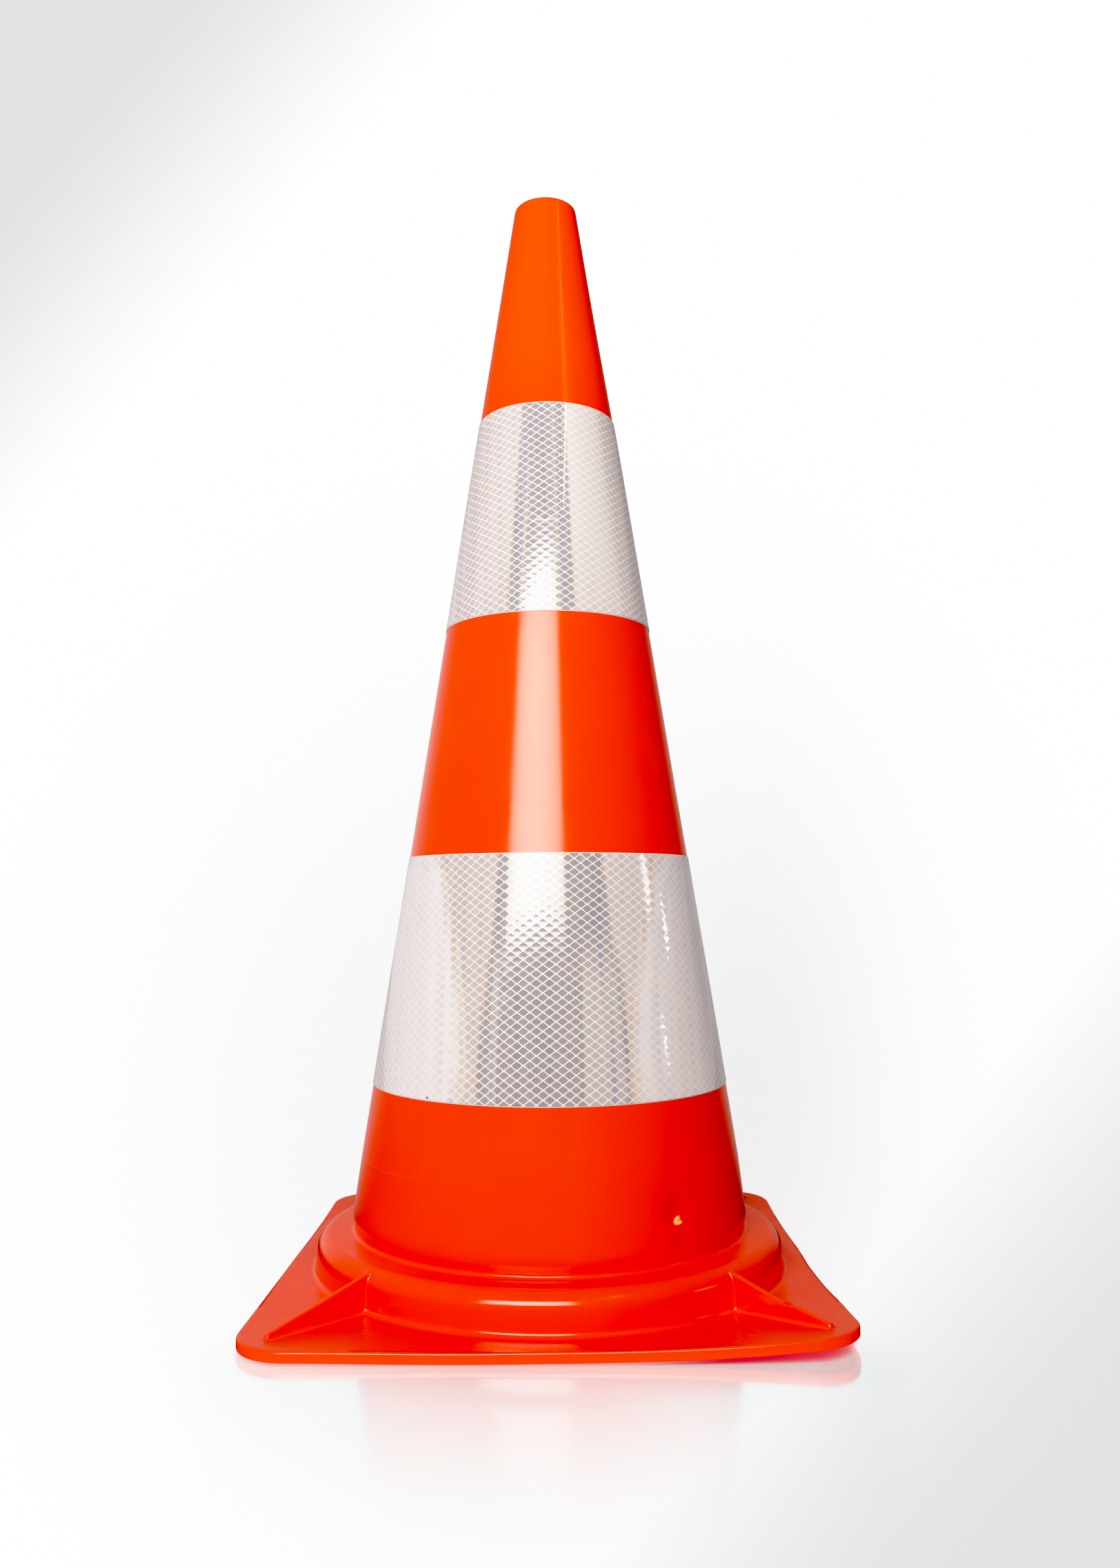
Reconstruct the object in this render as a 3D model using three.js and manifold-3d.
// Traffic cone, nominal height 750 mm, on a square foot plate.
// One hollow moulded shell (wall, neck, collar, plate, lip and four corner
// gussets in one piece) carries two retroreflective bands. Each band is a
// laminate of a white backing film, stuck to the wall, and a clear prismatic
// face film on top of it. Both films wrap the wall once and meet in a butt
// seam at the back.
// Millimetres. +Z is up, +Y is the back, and the origin is the centre of the
// foot plate on the ground.
import * as THREE from 'three';
import { mergeVertices } from 'three/addons/utils/BufferGeometryUtils.js';
import Module from 'manifold-3d';

// ---- driving dimensions ----------------------------------------------------
const HEIGHT = 750;            // ground to top rim
const FOOT_RADIUS = 138.17;    // wall cone carried on down to the ground plane
const TAPER = 0.15451;         // radius lost per millimetre of height
const WALL = 2.6;              // wall thickness, square to the surface
const WALL_FOOT_Z = 41;        // the straight wall ends here
const RIM_EDGE = 1.2;          // height of the bevels on the top rim
const RIM_BEVEL_INNER = 0.6;   // their widths, on the bore
const RIM_BEVEL_OUTER = 0.7;   // and on the outside

const PLATE_HALF = 175.4;      // half the width of the square foot plate
const PLATE_CORNER = 32;       // plan radius of the plate's corners
const PLATE_TOP = 6.3;         // plate's upper face
const PLATE_SKIN = 3.0;        // plate thickness
const PLATE_UNDER = PLATE_TOP - PLATE_SKIN;
const LIP = 3.5;               // width of the ground lip round the plate
const EDGE_ROUND = 1.2;        // rounding of the plate's upper edge

const FLANGE_RADIUS = 163;     // outer edge of the turned part, within the plate
const FLANGE_OVERLAP = 2;      // how far the turned part runs into the plate

const GUSSET_IN = 150.2;       // gusset starts inside the collar's shoulder
const GUSSET_OUT = 222.3;      // gusset's blunt outer end, on the diagonal
const GUSSET_TOP_IN = 27.3;    // height of its upper edge at the collar
const GUSSET_TOP_OUT = 9.3;    // height of its upper edge at the outer end
const GUSSET_BASE_Z = 4.4;     // its underside, buried in the plate's skin
const GUSSET_DRAFT_Z = 30;     // height at which the upper thickness is taken
const GUSSET_HALF_TOP = 1.6;   // half thickness at that height
const GUSSET_HALF_BASE = 2.25; // half thickness at the underside

const BANDS = [
  { name: 'lower_band', bottom: 125.1, top: 276.5 },
  { name: 'upper_band', bottom: 435.3, top: 586.5 },
];
const BACKING_GAP = 0.05;      // adhesive line under the backing film
const BACKING = 0.22;          // backing film thickness
const FACE_GAP = 0.05;         // air layer behind the prisms
const FACE = 0.28;             // face film thickness
const SEAM = 0.8;              // width of the butt seam at the back

const SEGMENTS = 72;           // facets round the axis, shared by every ring
const CORNER_DIVISIONS = 9;    // curve divisions for the plate's corners
const EDGE_STEPS = 2;          // steps in the plate's rounded edge

// ---- wall cone ---------------------------------------------------------------
// radial distance per millimetre measured square to the wall
const SLANT = Math.hypot(1, TAPER);
const wallRadius = (z) => FOOT_RADIUS - TAPER * z;
// radius at height z of a surface lying `offset` outside the wall
const offsetRadius = (z, offset) => wallRadius(z) + offset * SLANT;
const boreRadius = (z) => offsetRadius(z, -WALL);

// ---- helpers -------------------------------------------------------------------
const wasm = await Module();
wasm.setup();

// six times the signed volume, negative when the faces point inward
function signedVolume(position, triangles) {
  const corner = (i) => new THREE.Vector3().fromBufferAttribute(position, triangles[i]);
  let volume = 0;
  for (let i = 0; i < triangles.length; i += 3) {
    volume += corner(i).dot(corner(i + 1).cross(corner(i + 2)));
  }
  return volume;
}

// closed geometry -> solid, with its faces turned outward
function solid(geometry) {
  geometry.deleteAttribute('normal');
  geometry.deleteAttribute('uv');
  const merged = mergeVertices(geometry, 1e-4);
  const { position } = merged.attributes;
  const index = merged.index.array;
  const triangles = [];
  for (let i = 0; i < index.length; i += 3) {
    const [a, b, c] = [index[i], index[i + 1], index[i + 2]];
    // merging collapses some triangles, at the axis for one
    if (a !== b && b !== c && c !== a) triangles.push(a, b, c);
  }
  if (signedVolume(position, triangles) < 0) triangles.reverse();
  return new wasm.Manifold(new wasm.Mesh({
    numProp: 3,
    vertProperties: new Float32Array(position.array),
    triVerts: new Uint32Array(triangles),
  }));
}

function geometryOf(manifold) {
  const mesh = manifold.getMesh();
  const geometry = new THREE.BufferGeometry();
  const positions = new Float32Array(mesh.vertProperties);
  geometry.setAttribute('position', new THREE.BufferAttribute(positions, 3));
  geometry.setIndex(new THREE.BufferAttribute(new Uint32Array(mesh.triVerts), 1));
  geometry.computeVertexNormals();
  return geometry;
}

const toVectors = (points) => points.map(([x, y]) => new THREE.Vector2(x, y));

// closed ring profile of [radius, height] pairs turned about Z
function turned(profile) {
  const geometry = new THREE.LatheGeometry(toVectors([...profile, profile[0]]), SEGMENTS);
  geometry.rotateX(Math.PI / 2);
  return solid(geometry);
}

// box from its [low, high] range on each axis
function block({ x, y, z }) {
  const geometry = new THREE.BoxGeometry(x[1] - x[0], y[1] - y[0], z[1] - z[0]);
  geometry.translate((x[0] + x[1]) / 2, (y[0] + y[1]) / 2, (z[0] + z[1]) / 2);
  return solid(geometry);
}

// [x, y] outline extruded, then stood up: its y becomes +Z, its depth runs to -Y
function standing(outline, depth) {
  const shape = new THREE.Shape(toVectors(outline));
  const geometry = new THREE.ExtrudeGeometry(shape, { depth, bevelEnabled: false });
  return geometry.rotateX(Math.PI / 2);
}

// ---- foot plate ------------------------------------------------------------------
function roundedSquare(half, radius) {
  const centre = half - radius;
  const shape = new THREE.Shape();
  shape.moveTo(half, -centre);
  // each arc is joined to the last by a straight side
  [[1, 1], [-1, 1], [-1, -1], [1, -1]].forEach(([signX, signY], k) => {
    const start = k * Math.PI / 2;
    shape.absarc(signX * centre, signY * centre, radius, start, start + Math.PI / 2, false);
  });
  return shape;
}

function slab({ shape, bottom, top, bevel = 0 }) {
  const geometry = new THREE.ExtrudeGeometry(shape, {
    depth: top - bottom - 2 * bevel,
    curveSegments: CORNER_DIVISIONS,
    bevelEnabled: bevel > 0,
    bevelThickness: bevel,
    bevelSize: bevel,
    bevelOffset: -bevel,
    bevelSegments: EDGE_STEPS,
  });
  geometry.translate(0, 0, bottom + bevel);
  return solid(geometry);
}

// The slab starts below ground and is cut at z = 0, so that only its upper
// edge is rounded. The hollow under the skin leaves the lip standing.
function footPlate() {
  const outside = slab({
    shape: roundedSquare(PLATE_HALF, PLATE_CORNER),
    bottom: -4,
    top: PLATE_TOP,
    bevel: EDGE_ROUND,
  });
  const belowGround = block({ x: [-200, 200], y: [-200, 200], z: [-20, 0] });
  const hollow = slab({
    shape: roundedSquare(PLATE_HALF - LIP, PLATE_CORNER - LIP),
    bottom: -6,
    top: PLATE_UNDER,
  });
  const holeRadius = FLANGE_RADIUS - FLANGE_OVERLAP;
  const hole = turned([[0, -10], [holeRadius, -10], [holeRadius, 20], [0, 20]]);
  return outside.subtract(belowGround).subtract(hollow).subtract(hole);
}

// ---- turned shell ------------------------------------------------------------------
// [radius, height], down the outside and back up the inside
const SHELL_PROFILE = [
  // top rim, left open
  [boreRadius(HEIGHT - RIM_EDGE), HEIGHT - RIM_EDGE],
  [boreRadius(HEIGHT) + RIM_BEVEL_INNER, HEIGHT],
  [wallRadius(HEIGHT) - RIM_BEVEL_OUTER, HEIGHT],
  [wallRadius(HEIGHT - RIM_EDGE), HEIGHT - RIM_EDGE],
  // foot of the outer wall, then the neck where it turns in above the collar
  [wallRadius(WALL_FOOT_Z), WALL_FOOT_Z],
  [131.6, 36.6], [130.9, 33.6], [131.3, 31.5], [133.0, 30.6],
  // collar: sloped top, rounded shoulder, drafted side
  [139.0, 30.4], [148.3, 28.7], [151.9, 27.2], [153.9, 25.0],
  [154.6, 22.4], [155.4, 10.6], [156.7, 7.6],
  // flange into the plate
  [159.6, PLATE_TOP], [FLANGE_RADIUS, PLATE_TOP],
  [FLANGE_RADIUS, PLATE_UNDER], [156.6, PLATE_UNDER],
  // inside of the collar and neck
  [153.3, 5.6], [152.3, 10.0], [151.5, 22.0], [150.2, 24.4],
  [147.6, 25.8], [138.6, 27.4], [131.4, 27.7], [128.9, 29.4],
  [127.9, 32.6],
  [boreRadius(WALL_FOOT_Z), WALL_FOOT_Z],
];

// ---- gussets -------------------------------------------------------------------------
// cross-section, [across, height], thinning upward
const GUSSET_SECTION = [
  [-GUSSET_HALF_BASE, GUSSET_BASE_Z],
  [GUSSET_HALF_BASE, GUSSET_BASE_Z],
  [GUSSET_HALF_TOP, GUSSET_DRAFT_Z],
  [-GUSSET_HALF_TOP, GUSSET_DRAFT_Z],
];
// side view, [distance from the axis, height]
const GUSSET_SIDE = [
  // inner end, within the thickness of the collar
  [GUSSET_IN, GUSSET_TOP_IN],
  [GUSSET_IN + 0.5, 25.6],
  [152.6, 22.5],
  [153.0, 10.0],
  [158.0, GUSSET_BASE_Z],
  // blunt outer end
  [GUSSET_OUT, GUSSET_BASE_Z],
  [GUSSET_OUT - 0.2, PLATE_TOP + 0.6],
  [GUSSET_OUT - 1.3, PLATE_TOP + 2.1],
  [GUSSET_OUT - 3.3, GUSSET_TOP_OUT],
];
const GUSSET_BAR = { start: 140, length: 90 };  // overlong, trimmed by the side view
const GUSSET_TRIM_WIDTH = 12;                   // wider than the bar

// a drafted bar trimmed to the side view, turned about Z from +X
function gusset(turn) {
  const bar = standing(GUSSET_SECTION, GUSSET_BAR.length);
  bar.rotateZ(Math.PI / 2);           // bar runs along +X
  bar.translate(GUSSET_BAR.start, 0, 0);
  bar.rotateZ(turn);
  const side = standing(GUSSET_SIDE, GUSSET_TRIM_WIDTH);
  side.translate(0, GUSSET_TRIM_WIDTH / 2, 0);
  side.rotateZ(turn);
  return solid(bar).intersect(solid(side));
}

function coneBody() {
  let body = footPlate().add(turned(SHELL_PROFILE));
  for (let k = 0; k < 4; k++) {
    body = body.add(gusset((45 + 90 * k) * Math.PI / 180));
  }
  return body;
}

// ---- bands -----------------------------------------------------------------------------
// a film lying `lift` off the wall, open at the seam
function film({ bottom, top, lift, thickness }) {
  const ring = turned([
    [offsetRadius(bottom, lift), bottom],
    [offsetRadius(bottom, lift + thickness), bottom],
    [offsetRadius(top, lift + thickness), top],
    [offsetRadius(top, lift), top],
  ]);
  const seam = block({ x: [-SEAM / 2, SEAM / 2], y: [20, 200], z: [bottom - 5, top + 5] });
  return ring.subtract(seam);
}

const backingFilm = ({ bottom, top }) =>
  film({ bottom, top, lift: BACKING_GAP, thickness: BACKING });
const faceFilm = ({ bottom, top }) =>
  film({ bottom, top, lift: BACKING_GAP + BACKING + FACE_GAP, thickness: FACE });

// ---- materials ---------------------------------------------------------------------------
const material = (color, roughness) =>
  new THREE.MeshStandardMaterial({ color, roughness, metalness: 0 });
const orange = () => material(0xfb3a02, 0.32);
const white = () => material(0xf2efec, 0.55);
const prismatic = () => material(0xded6d6, 0.18);

// ---- scene graph ---------------------------------------------------------------------------
const group = new THREE.Group();
function addPiece(name, manifold, surface) {
  const mesh = new THREE.Mesh(geometryOf(manifold), surface);
  mesh.name = name;
  group.add(mesh);
}

addPiece('cone_body', coneBody(), orange());
for (const band of BANDS) {
  addPiece(`${band.name}_backing`, backingFilm(band), white());
  addPiece(`${band.name}_face_film`, faceFilm(band), prismatic());
}

export default group;
